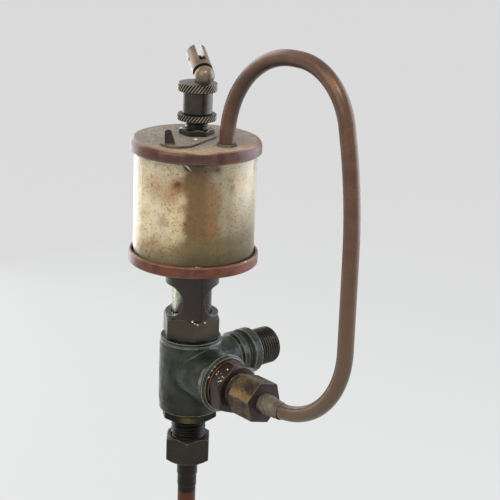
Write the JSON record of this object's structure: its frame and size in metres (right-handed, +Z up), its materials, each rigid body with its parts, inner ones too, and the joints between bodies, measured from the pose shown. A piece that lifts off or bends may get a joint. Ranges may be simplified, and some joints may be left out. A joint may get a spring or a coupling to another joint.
{
  "type": "sight-feed drip lubricator",
  "caption": "Glass-cup drip oiler of a stationary oil engine: snap lever, sight cage, tee fitting, looped balance pipe and compression unions.",
  "frame": {"origin": "centre of the flat seat on the tee's rear branch, where it is screwed up against the engine", "axes": "+Z up along the cup, +Y out of the seat into the engine, +X towards the looped balance pipe"},
  "size_m": [0.1219, 0.0732, 0.2101],
  "materials": {
    "green_enamel": "old dark green enamel, wet with oil",
    "dark_brass": "blackened brass with an oil film",
    "worn_brass": "brown brass, worn bright at its corners",
    "red_brass": "tarnished red brass, dusty on top",
    "bronze": "handled bronze, dull",
    "copper": "brown tarnished copper",
    "solder": "dull crusted solder",
    "dark_steel": "dark oiled steel",
    "fibre": "oil-soaked fibre",
    "clear_glass": "cloudy with an oil film"
  },
  "bodies": {
    "fixed_body": {"tee_body": "green_enamel", "engine_nipple": "dark_steel", "cage_washer": "copper", "sight_cage": "dark_brass", "lower_sight_washer": "fibre", "sight_glass": "clear_glass", "upper_sight_washer": "fibre", "cup_base": "red_brass", "drip_nozzle": "dark_brass", "lower_gasket": "fibre", "glass_cup": "clear_glass", "upper_gasket": "fibre", "lid": "red_brass", "solder_ring": "solder", "centre_tube": "dark_brass", "lid_nut": "dark_brass", "side_washer": "copper", "side_connector": "dark_brass", "side_nut": "worn_brass", "side_pipe_sleeve": "solder", "balance_pipe": "copper", "lower_washer": "copper", "lower_connector": "dark_brass", "lower_nut": "dark_brass", "lower_pipe_sleeve": "dark_brass", "delivery_pipe": "copper"},
    "filler_cover": {"filler_cover": "dark_brass"},
    "lock_ring": {"lock_ring": "dark_brass"},
    "adjusting_sleeve": {"adjusting_sleeve": "dark_brass"},
    "needle": {"needle": "dark_steel", "lever_pin": "dark_steel"},
    "toggle_lever": {"toggle_lever": "bronze"}
  },
  "joints": [
    {"name": "filler_cover_swing", "type": "hinge", "parent": "fixed_body", "child": "filler_cover", "pos_m": [0, -0.034, 0.10215], "axis": [0, 0, -1], "range_deg": [0, 100]},
    {"name": "lock_ring_turn", "type": "hinge", "parent": "fixed_body", "child": "lock_ring", "pos_m": [0, -0.034, 0.1101], "axis": [0, 0, 1], "range_deg": [-90, 90]},
    {"name": "sleeve_turn", "type": "hinge", "parent": "fixed_body", "child": "adjusting_sleeve", "pos_m": [0, -0.034, 0.116], "axis": [0, 0, 1], "range_deg": [-180, 180]},
    {"name": "needle_lift", "type": "slide", "parent": "fixed_body", "child": "needle", "axis": [0, 0, 1], "range_m": [0, 0.002]},
    {"name": "lever_flip", "type": "hinge", "parent": "needle", "child": "toggle_lever", "pos_m": [0, -0.034, 0.1332], "axis": [-0.3843, -0.9232, 0], "range_deg": [0, 120]}
  ]
}
